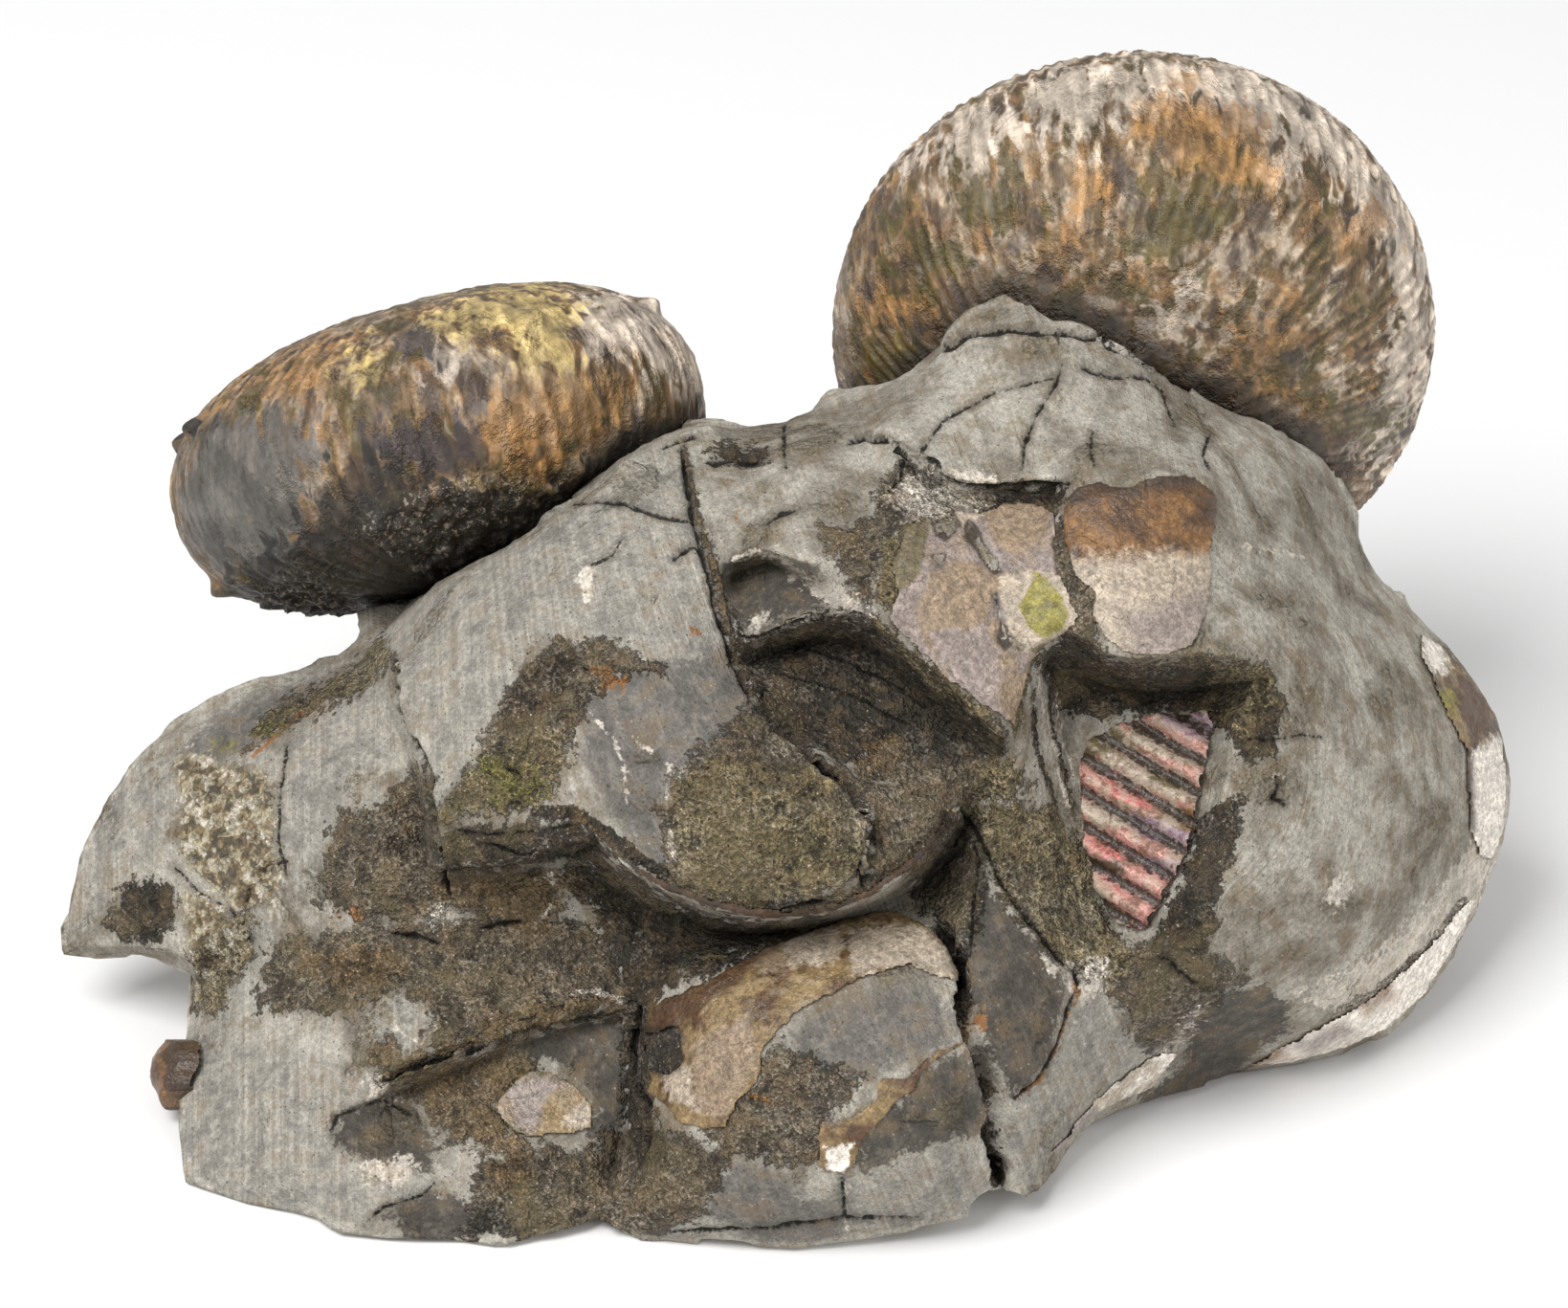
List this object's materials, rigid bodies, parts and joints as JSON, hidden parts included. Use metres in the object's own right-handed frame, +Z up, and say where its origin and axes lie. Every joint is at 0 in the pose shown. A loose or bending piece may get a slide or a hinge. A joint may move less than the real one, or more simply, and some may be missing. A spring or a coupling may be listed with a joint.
{
  "type": "ammonite fossil cluster",
  "caption": "Fossil ammonites with ribbed coiled shells standing out of the back of a lump of grey concretion, with broken shell in its front, on a flat base to rest on.",
  "frame": {"origin": "middle of the bounding box at its lowest plane, which is the flat base", "axes": "+Z up; -Y is the front, with the broken shell; +Y is the back, where the ammonites stand; +X runs along the specimen's length"},
  "size_m": [0.1628, 0.119, 0.097],
  "materials": {
    "grey_stone": "matte, ground and broken concretion",
    "ammonite_shell": "brown mother-of-pearl with a soft sheen",
    "brown_shell": "satin brown shell",
    "cream_shell": "satin cream and tan shell",
    "pink_shell": "pink mother-of-pearl",
    "amber_shell": "satin amber shell"
  },
  "bodies": {
    "root": {"stone": "grey_stone", "large_ammonite": "ammonite_shell", "small_ammonite": "ammonite_shell", "brown_shell": "brown_shell", "mottled_shell": "brown_shell", "ribbed_shell": "pink_shell", "shell_rim": "cream_shell", "tan_shell": "cream_shell", "tan_strip": "cream_shell", "small_round_shell": "cream_shell", "right_edge_shell": "cream_shell", "lower_edge_shell": "cream_shell", "lower_front_shell": "cream_shell", "amber_fragment": "amber_shell"}
  },
  "joints": []
}
